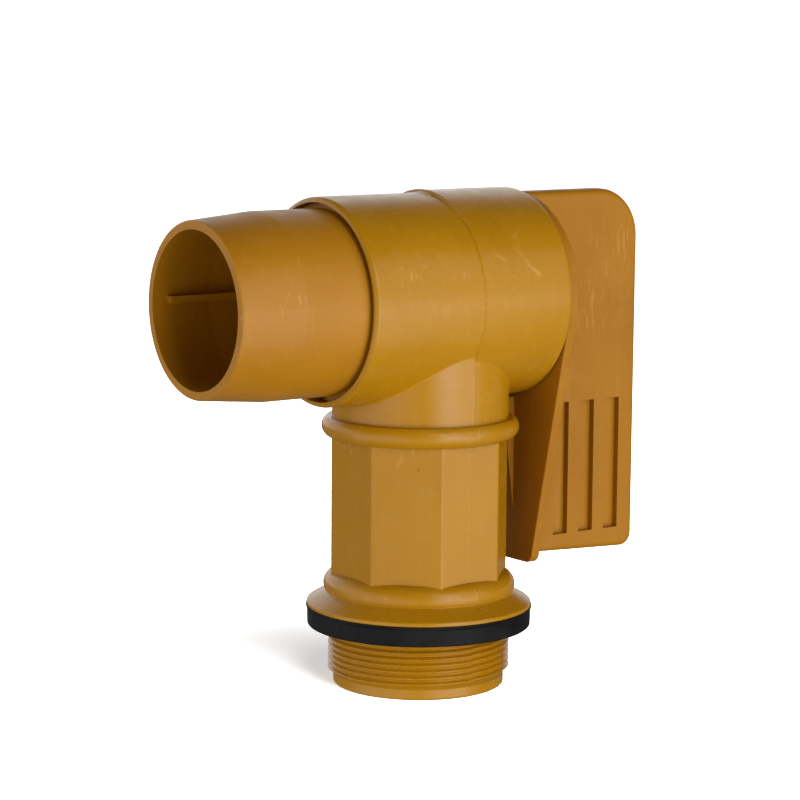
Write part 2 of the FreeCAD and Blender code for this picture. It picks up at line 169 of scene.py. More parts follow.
def blend_light(tree, factor, a, b):
    """Strength a where factor is 0, and b where it is 1."""
    share = maths(tree, "MULTIPLY", factor, b)
    rest = maths(tree, "MULTIPLY", maths(tree, "SUBTRACT", 1.0, factor), a)
    return maths(tree, "ADD", share, rest)


def srgb(red, green, blue):
    """A colour as a screen shows it, from 0 to 255, in the linear values that shaders use."""
    values = np.array([red, green, blue]) / 255
    linear = np.where(values <= 0.04045, values / 12.92, ((values + 0.055) / 1.055) ** 2.4)
    return (*[float(v) for v in linear], 1.0)


def empty_material(name):
    """A material with one Principled shader, and the piece's own coordinates to start from."""
    material = bpy.data.materials.new(name)
    material.use_nodes = True
    tree = material.node_tree
    tree.nodes.clear()
    shader = add(tree, "ShaderNodeBsdfPrincipled")
    output = add(tree, "ShaderNodeOutputMaterial")
    tree.links.new(shader.outputs[0], output.inputs["Surface"])
    where = add(tree, "ShaderNodeTexCoord").outputs["Object"]
    return material, tree, shader, where

# %% [markdown]
# ## Marks of wear
# Handling has left pale scuffs on the plastic. Those that stand out in the photograph have places
# of their own: a streak is what lies near a line between two points, broken up by noise, and a
# patch of hairs is stretched noise that fades with distance. Both are worked out from the piece's
# own coordinates, so they stay where they are when the camera or the lever moves.

# %% Streaks and patches of hairs
def place(x, y, z):
    """A place on the tap, given in millimetres."""
    return x * MM, y * MM, z * MM


def between(tree, where, start, end):
    """How far a place lies along the line from start to end, from 0 to 1, and how far off it."""
    start, end = Vector(start), Vector(end)
    length = (end - start).length
    from_start = add(tree, "ShaderNodeVectorMath", {0: where, 1: start}, operation="SUBTRACT").outputs[0]
    towards = {0: from_start, 1: (end - start) / length**2}
    along = add(tree, "ShaderNodeVectorMath", towards, operation="DOT_PRODUCT").outputs["Value"]
    along = maths(tree, "ADD", along, 0.0, clamp=True)
    foot = add(tree, "ShaderNodeVectorMath", {0: end - start}, operation="SCALE")
    tree.links.new(along, foot.inputs["Scale"])
    off = add(tree, "ShaderNodeVectorMath", {0: from_start, 1: foot.outputs[0]}, operation="SUBTRACT")
    distance = add(tree, "ShaderNodeVectorMath", {0: off.outputs[0]}, operation="LENGTH").outputs["Value"]
    return along, distance


def streak(tree, where, start, end, thin, thick, strength):
    """A pale scrape that widens from start to end, with ragged edges."""
    along, distance = between(tree, where, start, end)
    width = ramp(tree, along, 0.0, 1.0, thin, thick)
    ragged = noise(tree, where, 900.0, 3.0, 0.6)
    edge = maths(tree, "MULTIPLY", width, ramp(tree, ragged, 0.3, 0.7, 0.35, 1.5))
    inside = maths(tree, "SUBTRACT", 1.0, maths(tree, "DIVIDE", distance, edge), clamp=True)
    return maths(tree, "MULTIPLY", inside, strength)


def scratches(tree, where, centre, radius, turn, fineness, strength, stretch=8.0):
    """Fine hairs in one spot: noise drawn out along one direction, kept where it is high, and
    faded with distance from the centre."""
    offset = add(tree, "ShaderNodeVectorMath", {0: where, 1: centre}, operation="SUBTRACT").outputs[0]
    distance = add(tree, "ShaderNodeVectorMath", {0: offset}, operation="LENGTH").outputs["Value"]
    nearby = ramp(tree, distance, radius * 0.3, radius, strength, 0.0)
    turned = add(tree, "ShaderNodeMapping", {
        "Vector": offset, "Rotation": turn, "Scale": (fineness, fineness, fineness / stretch),
    }).outputs[0]
    hairs = ramp(tree, noise(tree, turned, 1.0, 2.0, 0.5, 0.6), 0.56, 0.7)
    return maths(tree, "MULTIPLY", hairs, nearby)


def all_of(tree, marks):
    """The strongest of several marks at each place."""
    strongest = marks[0]
    for mark in marks[1:]:
        strongest = maths(tree, "MAXIMUM", strongest, mark)
    return strongest

# %% Where each moulding is worn
def body_wear(tree, where):
    """The scrapes on the barrel's right side, and pale hairs on two flats just under the bead."""
    steep = (0.5, 0.0, 0.0)
    flat = (1.5, 0.1, 0.0)
    return all_of(tree, [
        streak(tree, where, place(28.4, 14.0, 146.6), place(32.6, 19.4, 138.0), 0.15 * MM, 0.8 * MM, 0.75),
        streak(tree, where, place(32.6, 20.4, 137.6), place(33.1, 21.8, 136.2), 1.1 * MM, 1.2 * MM, 0.8),
        streak(tree, where, place(24.7, 22.8, 151.1), place(28.0, 14.6, 147.2), 0.12 * MM, 0.3 * MM, 0.5),
        streak(tree, where, place(30.7, 6.6, 142.4), place(31.4, 9.6, 141.0), 0.9 * MM, 1.0 * MM, 0.5),
        scratches(tree, where, place(33.2, 12.6, 135.4), 6.5 * MM, flat, 1300.0, 0.8),
        scratches(tree, where, place(31.8, -28.5, 137.5), 6.0 * MM, steep, 1100.0, 0.6),
        scratches(tree, where, place(32.6, -8.6, 137.6), 4.0 * MM, steep, 1100.0, 0.6),
        scratches(tree, where, place(33.1, -17.0, 132.0), 19.0 * MM, flat, 500.0, 0.22, 3.0),
        # pale hairs at the top of two flats, just under the bead
        scratches(tree, where, place(-2.0, -28.5, 80.2), 7.0 * MM, (1.57, 1.2, 0.0), 700.0, 0.8),
        scratches(tree, where, place(18.0, -19.5, 79.5), 8.0 * MM, (1.57, 0.6, 0.0), 500.0, 0.35, 4.0),
        scratches(tree, where, place(22.0, 28.0, 106.0), 8.0 * MM, steep, 900.0, 0.3),
    ])


def spout_wear(tree, where):
    """A nick in the rim, a few hairs round it and rubbing where the spout tapers."""
    return all_of(tree, [
        streak(tree, where, place(27.4, -86.2, 128.6), place(26.6, -86.2, 127.2), 0.5 * MM, 0.7 * MM, 0.9),
        scratches(tree, where, place(29.2, -68.0, 130.0), 8.0 * MM, (0.2, 0.0, 0.0), 1200.0, 0.5),
        scratches(tree, where, place(-20.0, -60.0, 147.0), 12.0 * MM, (0.7, 0.0, 0.0), 900.0, 0.4),
    ])


def lever_wear(tree, where):
    """Rubbing on the blade's upper rear corner, where a hand takes hold of it."""
    return all_of(tree, [
        scratches(tree, where, place(3.9, 78.0, 140.0), 16.0 * MM, (0.4, 0.0, 0.0), 800.0, 0.3),
        scratches(tree, where, place(-3.9, 70.0, 120.0), 18.0 * MM, (0.9, 0.0, 0.0), 800.0, 0.35),
    ])

# %% [markdown]
# ## Ochre moulded plastic
# The real part is coloured polyethylene from a mould. Its colour drifts a little where the melt
# flowed, faint streaks run up it, and its skin has a very fine grain that softens reflections.
# Noise at several sizes makes these: broad for the drift, middling for flow and gloss, stretched
# for the streaks, and fine for the grain, which a bump node turns into tiny slopes. The body came
# from a polished mould and is the glossiest, while spout and lever are duller.

# %% The plastic's network
WORN_PALENESS = 0.9
WORN_DULLNESS = 0.25
WORN_DEPTH = 0.012 * MM
WAVE_HEIGHT = 0.03 * MM


def moulded_plastic(name, dark, middle, pale, roughness, sheen, grain, wear):
    """A plastic whose colour lies between dark and middle, and goes to pale where it is worn."""
    material, tree, shader, where = empty_material(name)
    drift = noise(tree, where, 20.0, 2.0)
    flow = noise(tree, where, 90.0, 4.0, 0.6, 0.8)
    upright = add(tree, "ShaderNodeMapping", {"Vector": where, "Scale": (420.0, 420.0, 9.0)}).outputs[0]
    drawn = noise(tree, upright, 1.0, 2.0)
    tone = blend_colour(tree, ramp(tree, drift, 0.35, 0.65), dark, middle)
    tone = blend_colour(tree, ramp(tree, flow, 0.5, 0.85, 0.0, 0.1), tone, pale)
    tone = blend_colour(tree, ramp(tree, drawn, 0.55, 0.8, 0.0, 0.12), tone, pale)
    worn = wear(tree, where)
    tone = blend_colour(tree, maths(tree, "MULTIPLY", worn, WORN_PALENESS), tone, pale)
    gloss = ramp(tree, noise(tree, where, 140.0, 3.0), 0.3, 0.7, roughness - 0.03, roughness + 0.04)
    gloss = maths(tree, "ADD", gloss, maths(tree, "MULTIPLY", worn, WORN_DULLNESS))
    skin = maths(tree, "MULTIPLY", noise(tree, where, 2600.0, 2.0), grain)
    waves = maths(tree, "MULTIPLY", noise(tree, where, 75.0, 1.0), WAVE_HEIGHT)
    height = maths(tree, "ADD", skin, waves)
    height = maths(tree, "SUBTRACT", height, maths(tree, "MULTIPLY", worn, WORN_DEPTH))
    bump = add(tree, "ShaderNodeBump", {"Height": height, "Distance": 1.0, "Strength": 1.0})
    tree.links.new(tone, shader.inputs["Base Color"])
    tree.links.new(gloss, shader.inputs["Roughness"])
    tree.links.new(bump.outputs[0], shader.inputs["Normal"])
    shader.inputs["IOR"].default_value = 1.5
    shader.inputs["Specular IOR Level"].default_value = sheen
    shader.inputs["Subsurface Weight"].default_value = 0.02
    shader.inputs["Subsurface Radius"].default_value = (1.0, 0.45, 0.12)
    shader.inputs["Subsurface Scale"].default_value = 1.5 * MM
    print("finish:", name)
    return material

# %% The three ochre finishes
BODY_OCHRE_DARK = srgb(169, 117, 7)
BODY_OCHRE = srgb(176, 123, 9)
SPOUT_OCHRE_DARK = srgb(168, 111, 9)
SPOUT_OCHRE = srgb(175, 117, 11)
OCHRE_PALE = srgb(206, 160, 82)
LEVER_OCHRE_DARK = srgb(158, 103, 10)
LEVER_OCHRE = srgb(165, 109, 13)
BODY_ROUGHNESS, BODY_SHEEN, BODY_GRAIN = 0.27, 0.32, 0.0008 * MM
SPOUT_ROUGHNESS, SPOUT_SHEEN, SPOUT_GRAIN = 0.42, 0.33, 0.003 * MM
LEVER_ROUGHNESS, LEVER_SHEEN, LEVER_GRAIN = 0.42, 0.2, 0.002 * MM
body_plastic = moulded_plastic(
    "body_plastic_look", BODY_OCHRE_DARK, BODY_OCHRE, OCHRE_PALE,
    BODY_ROUGHNESS, BODY_SHEEN, BODY_GRAIN, body_wear,
)
spout_plastic = moulded_plastic(
    "spout_plastic_look", SPOUT_OCHRE_DARK, SPOUT_OCHRE, OCHRE_PALE,
    SPOUT_ROUGHNESS, SPOUT_SHEEN, SPOUT_GRAIN, spout_wear,
)
lever_plastic = moulded_plastic(
    "lever_plastic_look", LEVER_OCHRE_DARK, LEVER_OCHRE, OCHRE_PALE,
    LEVER_ROUGHNESS, LEVER_SHEEN, LEVER_GRAIN, lever_wear,
)

# %% [markdown]
# ## Black rubber
# The gasket is matt black rubber with a faint bloom and a few pale specks of dust, which noise
# kept only at its highest values gives. The seals inside are the same rubber, a little smoother.

# %% The rubber finishes
RUBBER_BLOOM = srgb(26, 25, 25)
RUBBER_DUST = srgb(120, 116, 110)
RUBBER_SHEEN = 0.13
RUBBER_GRAIN = 0.02 * MM


def rubber(name, tone, roughness):
    """A rubber of one tone, with a paler bloom in patches and a few specks of dust."""
    material, tree, shader, where = empty_material(name)
    bloom = ramp(tree, noise(tree, where, 60.0, 3.0), 0.35, 0.7)
    dusty = ramp(tree, noise(tree, where, 900.0, 2.0), 0.7, 0.78, 0.0, 0.3)
    colour = blend_colour(tree, bloom, tone, RUBBER_BLOOM)
    colour = blend_colour(tree, dusty, colour, RUBBER_DUST)
    height = maths(tree, "MULTIPLY", noise(tree, where, 1500.0, 3.0), RUBBER_GRAIN)
    bump = add(tree, "ShaderNodeBump", {"Height": height, "Distance": 1.0, "Strength": 1.0})
    tree.links.new(colour, shader.inputs["Base Color"])
    tree.links.new(ramp(tree, bloom, 0.0, 1.0, roughness, roughness + 0.12), shader.inputs["Roughness"])
    tree.links.new(bump.outputs[0], shader.inputs["Normal"])
    shader.inputs["Specular IOR Level"].default_value = RUBBER_SHEEN
    print("finish:", name)
    return material


gasket_rubber = rubber("gasket_rubber_look", srgb(9, 8, 8), 0.5)
seal_rubber = rubber("seal_rubber_look", srgb(24, 24, 25), 0.4)

# %% [markdown]
# ## Dress the CAD nodes
# The record names a finish for each part. It is set on the object and not on its mesh, so that
# the CAD model's own data stay untouched.

# %% A finish for each node
finishes = {
    "body_plastic": body_plastic,
    "spout_plastic": spout_plastic,
    "lever_plastic": lever_plastic,
    "lock_plastic": lever_plastic,
    "gasket_rubber": gasket_rubber,
    "seal_rubber": seal_rubber,
}
for part in frame["record"]["subparts"]:
    node = nodes[part["node"]]
    for socket in node.material_slots:
        socket.link = "OBJECT"
        socket.material = finishes[part["material_slot"]]
print("dressed", len(nodes), "CAD nodes")

# %% [markdown]
# ## Room for thread and mouldings
# A copy of the CAD body, with points that lie on each other joined, keeps every shape. Some of
# its points are then moved. The threaded length is drawn in to just below the thread's roots, and
# the edges of flange, collar and bead go under the surface, so that finer ones can be laid over
# them as rings.

# %% Which points make room
THREAD_CREST_R = 29.8 * MM
THREAD_CORE_R = 28.2 * MM
THREAD_END_Z = 19.1 * MM
FLANGE_R = 36.85 * MM
FLANGE_Z = 25.9 * MM
SOLID_CROWN = (32.0 * MM, 26.5 * MM, 4.85 * MM)    # radius, height and rounding in the CAD model
SOLID_COLLAR = (27.6 * MM, 33.4 * MM, 4.05 * MM)
SOLID_BEAD = (27.55 * MM, 84.95 * MM, 4.8 * MM)
CROWN_FROM_R = 31.5 * MM
COLLAR_FROM_Z = 31.2 * MM
UNDER_FLANGE_R, UNDER_FLANGE_Z = 36.3 * MM, 26.6 * MM
UNDER_RING_R = 29.65 * MM
COLLAR_DROP = 1.0 * MM
BEAD_TOP_DROP, BEAD_FOOT_LIFT = 2.0 * MM, 1.9 * MM
NEAR = 0.03 * MM
THREAD_NEAR = 0.02 * MM


def on_ring(points, radius, height, rounding):
    """Which points lie on a bulge round the stem: at one distance from a circle about Z."""
    off = np.hypot(np.hypot(points[:, 0], points[:, 1]) - radius, points[:, 2] - height)
    return np.abs(off - rounding) < NEAR


def draw_in(points, chosen, to_radius, to_height):
    """The chosen points move towards the stem's axis, to to_radius at most, and to to_height."""
    radius = np.hypot(points[:, 0], points[:, 1])
    scale = np.where(chosen & (radius > to_radius), to_radius / np.maximum(radius, 1e-9), 1.0)
    moved = points * np.stack([scale, scale, np.ones_like(scale)], 1)
    moved[:, 2] = np.where(chosen, to_height, moved[:, 2])
    return moved


def make_room(points):
    """Each edge goes to a radius and a height that lie below its finer ring."""
    radius, height = np.hypot(points[:, 0], points[:, 1]), points[:, 2]
    thread = (np.abs(radius - THREAD_CREST_R) < THREAD_NEAR) & (height < THREAD_END_Z + 0.05 * MM)
    crown = on_ring(points, *SOLID_CROWN) & (height > FLANGE_Z - NEAR) & (radius > CROWN_FROM_R)
    crown |= (np.abs(radius - FLANGE_R) < NEAR) & (height < UNDER_FLANGE_Z) & (height > FLANGE_Z - 0.1 * MM)
    collar = on_ring(points, *SOLID_COLLAR) & (height > COLLAR_FROM_Z)
    bead = on_ring(points, *SOLID_BEAD)
    moved = draw_in(points, thread, THREAD_CORE_R, height)
    moved = draw_in(moved, crown, UNDER_FLANGE_R, np.minimum(height, UNDER_FLANGE_Z))
    moved = draw_in(moved, collar, UNDER_RING_R, height - COLLAR_DROP)
    upper = height > SOLID_BEAD[1]
    to_height = np.where(upper, height - BEAD_TOP_DROP, height + BEAD_FOOT_LIFT)
    return draw_in(moved, bead, UNDER_RING_R, to_height)

# %% [markdown]
# ## The step on the barrel
# On the barrel the two mould halves met a little out of line: the step between them is full on
# top and underneath, and all but dies out at the sides. In the CAD model it is the same all
# round, so the front half is made to swell towards it at the sides.

# %% Level the step at the sides
BARREL_Z = 127.4 * MM
FRONT_R = 33.35 * MM
SEAM_CREST_R = 34.5 * MM
SEAM_REACH = 0.2 * MM
SIDE_SWELL = 0.75 * MM        # by which the front half meets the rear one at the sides
SWELL_LENGTH = 38.0 * MM
SIDE_CREST_DROP = 0.2 * MM


def level_the_step(points):
    """Beside the axis the front half swells towards the mould line, and the line's crest drops."""
    across, up = points[:, 0], points[:, 2] - BARREL_Z
    radius = np.maximum(np.hypot(across, up), 1e-9)
    beside = np.abs(across) / radius
    y = points[:, 1]
    outermost = SEAM_CREST_R + SEAM_REACH
    near_skin = np.clip((outermost - radius) / (outermost - FRONT_R), 0.0, 1.0)
    near_skin = np.where((radius > FRONT_R - NEAR) & (y < -NEAR), near_skin, 0.0)
    swell = SIDE_SWELL * beside * near_skin * np.clip(1.0 + y / SWELL_LENGTH, 0.0, 1.0)
    crest = (np.abs(y) < NEAR) & (np.abs(radius - SEAM_CREST_R) < NEAR)
    scale = (radius + swell - SIDE_CREST_DROP * beside * crest) / radius
    return np.stack([across * scale, y, BARREL_Z + up * scale], 1)

# %% [markdown]
# ## Shading of the copy
# The CAD's triangles carry normals of their own, which make a round look round. Where two of its
# faces meet in one smooth surface their normals differ by a few degrees, and a gloss shows that
# as a line, so normals that nearly agree at a point are made to agree. The mould line's slopes are
# real edges and get the normals of their faces.

# %% Blend normals that nearly agree
SAME_FACE_DEGREES = 8.0


def blend_close_normals(normals, points_of_corners):
    """Each corner's normal becomes the mean of those at its point that differ by less than
    SAME_FACE_DEGREES."""
    order = np.argsort(points_of_corners, kind="stable")
    point, own = points_of_corners[order], normals[order]
    total = own.copy()
    for shift in range(1, int(np.bincount(point).max())):
        alike = point[:-shift] == point[shift:]
        alike &= (own[:-shift] * own[shift:]).sum(axis=1) > math.cos(math.radians(SAME_FACE_DEGREES))
        total[:-shift][alike] += own[shift:][alike]
        total[shift:][alike] += own[:-shift][alike]
    blended = np.empty_like(normals)
    blended[order] = total / np.linalg.norm(total, axis=1, keepdims=True)
    return blended

# %% Copy the body
SLOPE_HALF_WIDTH = 0.45 * MM


def on_slopes(corners):
    """Which triangles lie wholly on the narrow slopes of the barrel's mould line."""
    from_axis = np.hypot(corners[..., 0], corners[..., 2] - BARREL_Z)
    near_plane = (np.abs(corners[..., 1]) < SLOPE_HALF_WIDTH).all(axis=1)
    return near_plane & ((from_axis > FRONT_R - NEAR) & (from_axis < SEAM_CREST_R + NEAR)).all(axis=1)


def merged_copy(node_name, name, reshape):
    """A copy of a CAD node: points joined, then moved by reshape, with the CAD's normals."""
    source = nodes[node_name].data
    points = np.empty(len(source.vertices) * 3)
    source.vertices.foreach_get("co", points)
    corners = np.empty(len(source.loops), int)
    source.loops.foreach_get("vertex_index", corners)
    normals = np.empty(len(source.loops) * 3)
    source.corner_normals.foreach_get("vector", normals)
    joined, where = np.unique(np.round(points.reshape(-1, 3), 7), axis=0, return_inverse=True)
    triangles = where.reshape(-1)[corners].reshape(-1, 3)
    normals = normals.reshape(-1, 3, 3)
    sound = (triangles[:, 0] != triangles[:, 1]) & (triangles[:, 1] != triangles[:, 2])
    sound &= triangles[:, 0] != triangles[:, 2]
    triangles, normals = triangles[sound], normals[sound]
    normals = blend_close_normals(normals.reshape(-1, 3), triangles.reshape(-1)).reshape(-1, 3, 3)
    moved = reshape(joined)
    a, b, c = (moved[triangles[:, k]] for k in range(3))
    flat = np.cross(b - a, c - a)
    flat /= np.maximum(np.linalg.norm(flat, axis=1, keepdims=True), 1e-15)
    slope = on_slopes(joined[triangles])
    normals[slope] = flat[slope][:, None, :]
    obj = mesh_object(name, moved, triangles)
    obj.data.normals_split_custom_set(normals.reshape(-1, 3).tolist())
    print(name, "joined", len(points) // 3, "points to", len(joined), "with", int(slope.sum()), "slope faces")
    return obj


body_shell = merged_copy("tap_body", "body_shell", lambda points: level_the_step(make_room(points)))
finish_piece(body_shell, "body", body_plastic)
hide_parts("tap_body")

# %% [markdown]
# ## The screw thread
# A thread is one wave wound round a cylinder. On a grid of angle and height the radius is the
# root's radius plus the wave, whose phase falls behind by one pitch for each turn. The thread was
# moulded in two halves, so each half's thread is a touch out of step with the other, and its
# crests dip where they meet. Below the first turn the plain lead ring shows.

# %% The thread's ring
THREAD_PITCH = 2.05 * MM
THREAD_DEPTH = 1.31 * MM
LEAD_R = 28.05 * MM
LEAD_TOP_Z = 3.4 * MM
THREAD_START = -216.0        # degrees, behind the stem, where the first turn begins
FIRST_ROOT_Z = 4.4 * MM      # height of the first root at FIRST_ROOT_ANGLE
FIRST_ROOT_ANGLE = -36.0
RUN_IN_DEGREES = 25.0        # over which the first turn grows to its full height
HALF_STEP = 0.28 * MM        # how far the rear half's thread is out of step
HALF_SHARPNESS = 60.0
SEAM_DIP = 0.14 * MM         # by which the crests drop where the halves meet
SEAM_DIP_WIDTH = 0.7 * MM
RING_WALL = 0.6 * MM         # the ring's back lies this far within the core
THREAD_ROWS = 105
THREAD_COLUMNS = 420


def thread_ring():
    """radius = root + depth * (1 - cos(2 pi u)) / 2, with u the turns above the thread's start."""
    heights = np.linspace(LEAD_TOP_Z, THREAD_END_Z, THREAD_ROWS)
    degrees = THREAD_START + 360.0 * np.arange(THREAD_COLUMNS) / THREAD_COLUMNS
    turn, height = np.meshgrid(degrees, heights)
    from_seam = (turn + 180.0) % 180.0
    arc = np.radians(np.minimum(from_seam, 180.0 - from_seam)) * THREAD_CREST_R
    side = np.sin(np.radians(turn))
    step = HALF_STEP * (0.5 + 0.5 * np.tanh(side * HALF_SHARPNESS))
    start = FIRST_ROOT_Z + THREAD_PITCH * (turn - FIRST_ROOT_ANGLE) / 360.0 + step
    u = (height - start) / THREAD_PITCH
    wave = (1.0 - np.cos(2.0 * np.pi * u)) / 2.0
    run_in = np.clip((turn - THREAD_START) / RUN_IN_DEGREES, 0.0, 1.0)
    first_turn = np.where(u < 1.0, run_in, 1.0)
    root = THREAD_CREST_R - THREAD_DEPTH
    radius = root + THREAD_DEPTH * wave * first_turn
    radius = radius - SEAM_DIP * np.exp(-((arc / SEAM_DIP_WIDTH) ** 2)) * wave
    radius = np.where(u < 0.0, LEAD_R, radius)
    turn = np.radians(turn)
    outer = np.stack([radius * np.cos(turn), radius * np.sin(turn), height], -1)
    inner_r = THREAD_CORE_R - RING_WALL
    inner = []
    for z in (THREAD_END_Z, LEAD_TOP_Z):
        ring = np.radians(degrees)
        inner.append(np.stack([inner_r * np.cos(ring), inner_r * np.sin(ring), np.full_like(ring, z)], -1))
    grid = np.concatenate([outer, np.array(inner)])
    rows = len(grid)
    faces = grid_faces(rows, THREAD_COLUMNS)
    last = (rows - 1) * THREAD_COLUMNS
    ring = np.arange(THREAD_COLUMNS)
    following = (ring + 1) % THREAD_COLUMNS
    closing = np.stack([last + ring, last + following, following, ring], -1)
    return mesh_object("inlet_thread", grid.reshape(-1, 3), np.concatenate([faces, closing]))


finish_piece(thread_ring(), "body", body_plastic)
print("thread from", LEAD_TOP_Z / MM, "to", THREAD_END_Z / MM, "mm, pitch", THREAD_PITCH / MM, "mm")

# %% [markdown]
# ## Flange, collar and bead
# These are turned forms, so each is a section carried round the stem. The flange is a flat cone
# with a tight outer edge, the collar a bulge that the octagon stands in, and the bead a bulge cut
# off on top, where a dished ledge runs in to the neck.

# %% The sections of flange, collar and bead
FLANGE_SIDE = 1.0 * MM
FLANGE_EDGE = 0.6 * MM
FLANGE_EDGE_DEGREES = 58
FLANGE_FOOT = [(FLANGE_R - 0.2 * MM, FLANGE_Z + 0.06 * MM), (FLANGE_R, FLANGE_Z + 0.25 * MM)]
COLLAR_R = 31.45 * MM
COLLAR_ROUND = 4.3 * MM
COLLAR_Z = 33.0 * MM
COLLAR_FOOT_DEGREES = -31.6
OCTAGON_HALF = 27.35 * MM
BEAD_R = 32.22 * MM
BEAD_ROUND = 3.7 * MM
BEAD_Z = 85.23 * MM
BEAD_RIM_DEGREES = 58
NECK_R = 28.8 * MM
NECK_FOOT_Z = 88.09 * MM
NECK_TOP_Z = 107.5 * MM
INSIDE_R = 26.5 * MM          # within the stem's wall, where no one sees it
RING_COLUMNS = 300


def bulge(outer_r, middle_z, rounding, low, high, count=24):
    """Points of a bulge's section from one angle to another: (radius, height)."""
    turn = np.radians(np.linspace(low, high, count))
    radius = outer_r - rounding + rounding * np.cos(turn)
    return np.stack([radius, middle_z + rounding * np.sin(turn)], 1)


def flange_and_collar():
    """Up the flange's side, over its edge, along the cone and round the collar."""
    return np.concatenate([
        FLANGE_FOOT,
        bulge(FLANGE_R, FLANGE_Z + FLANGE_SIDE, FLANGE_EDGE, 0, FLANGE_EDGE_DEGREES, 10),
        bulge(COLLAR_R, COLLAR_Z, COLLAR_ROUND, COLLAR_FOOT_DEGREES, 90),
    ])


def bead():
    """From the flat below, round the bead to its rim, and down the ledge to the neck."""
    return np.concatenate([
        [(OCTAGON_HALF, BEAD_Z - BEAD_ROUND)],
        bulge(BEAD_R, BEAD_Z, BEAD_ROUND, -90, BEAD_RIM_DEGREES),
        [(NECK_R, NECK_FOOT_Z)],
    ])


def evenly(corners, count):
    """Points along a line through the corners, at even distances."""
    steps = np.hypot(*np.diff(corners, axis=0).T)
    along = np.concatenate([[0.0], np.cumsum(steps)])
    even = np.linspace(0.0, along[-1], count)
    return np.stack([np.interp(even, along, corners[:, i]) for i in (0, 1)], 1)


def turned(name, section, smooth=True):
    """point(s, t) = the closed section's radius at s, turned by t about Z, at its height at s."""
    turn = np.linspace(0.0, 2.0 * np.pi, RING_COLUMNS, endpoint=False)
    radius, height = section[:, :1], np.repeat(section[:, 1:], RING_COLUMNS, axis=1)
    points = np.stack([radius * np.cos(turn), radius * np.sin(turn), height], -1)
    count = len(section)
    closing = grid_faces(2, RING_COLUMNS)
    closing = np.where(closing >= RING_COLUMNS, closing - RING_COLUMNS, closing + (count - 1) * RING_COLUMNS)
    faces = np.concatenate([grid_faces(count, RING_COLUMNS), closing])
    return mesh_object(name, points.reshape(-1, 3), faces, smooth)


def turned_ring(name, outline, rows):
    """A ring with that outline, closed at the back inside the stem's wall."""
    section = evenly(outline, rows)
    return turned(name, np.concatenate([[(INSIDE_R, outline[0, 1])], section, [(INSIDE_R, outline[-1, 1])]]))


finish_piece(turned_ring("flange_and_collar", flange_and_collar(), 90), "body", body_plastic)
finish_piece(turned_ring("bead", bead(), 60), "body", body_plastic)

# %% [markdown]
# ## The gasket's skirt
# The gasket was stamped from sheet, so its upper edge is sharp and flares a little under the
# flange, and its side leans in towards the bottom. It is turned from a section like the rings,
# and its faces stay flat, so that the edges show.

# %% The gasket
GASKET_IN_R = 29.95 * MM
GASKET_TOP_R = 37.1 * MM
GASKET_EDGE = 0.35 * MM       # height of the sharp upper edge
GASKET_LEAN_Z = 24.7 * MM
GASKET_LEAN = 0.1 * MM
GASKET_FOOT_R = 36.65 * MM
GASKET_FOOT_Z = 19.4 * MM
GASKET_FOOT_ROUND = 0.7 * MM


def gasket():
    """A closed section: along the top, down the leaning side, round the lower edge and back."""
    section = np.concatenate([
        [(GASKET_TOP_R, FLANGE_Z), (GASKET_TOP_R, FLANGE_Z - GASKET_EDGE)],
        [(GASKET_FOOT_R + GASKET_LEAN, GASKET_LEAN_Z)],
        bulge(GASKET_FOOT_R, GASKET_FOOT_Z + GASKET_FOOT_ROUND, GASKET_FOOT_ROUND, 0, -90, 8),
        [(GASKET_IN_R, GASKET_FOOT_Z), (GASKET_IN_R, FLANGE_Z)],
    ])
    return turned("gasket", section[::-1], smooth=False)


gasket_piece = finish_piece(gasket(), "body", gasket_rubber)
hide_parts("inlet_gasket")

# %% [markdown]
# ## The mould line up the stem
# The mould's halves met in the plane across the barrel and through the stem's axis, so a fine line
# runs up each side of the stem, over flange, collar, flat, bead and neck. The front half stands
# proud, and falls away in a small step. A strip is bent over the stem's outline for this, thickest
# at the step. It follows the same sections that flange, collar and bead are turned from.

# %% The stem's outline, from the flange up to the barrel
OUTLINE_POINTS = 420


def stem_outline():
    """The stem's section between the flange's side and the barrel, evenly spaced."""
    corners = np.concatenate([
        flange_and_collar()[1:],
        [(OCTAGON_HALF, COLLAR_Z + COLLAR_ROUND)],
        bead(),
        [(NECK_R, NECK_TOP_Z)],
    ])
    return evenly(corners, OUTLINE_POINTS)

# %% The mould line up each side of the stem
STEP_HEIGHT = 0.16 * MM       # on flange, collar and bead
STEP_ON_STRAIGHT = 0.03 * MM  # on the flat and the neck
STEP_FADE = 1.5 * MM
RIDGE_HEIGHT = 0.1 * MM
RIDGE_WIDTH = 0.16 * MM
RIDGE_TUCK = 0.25 * MM        # beyond this the strip lies just under the surface
SUNK = 0.04 * MM
STRIP_PLACES = np.array([-1.5, -1.2, -0.9, -0.6, -0.35, -0.22, -0.12, -0.05, 0.0, 0.05, 0.12, 0.2, 0.3]) * MM
REAR_FALL = (0.02 * MM, 0.14 * MM)


def ramp_down(value, low, high):
    """1 below low, 0 above high, and straight between them."""
    return np.clip((high - value) / (high - low), 0.0, 1.0)


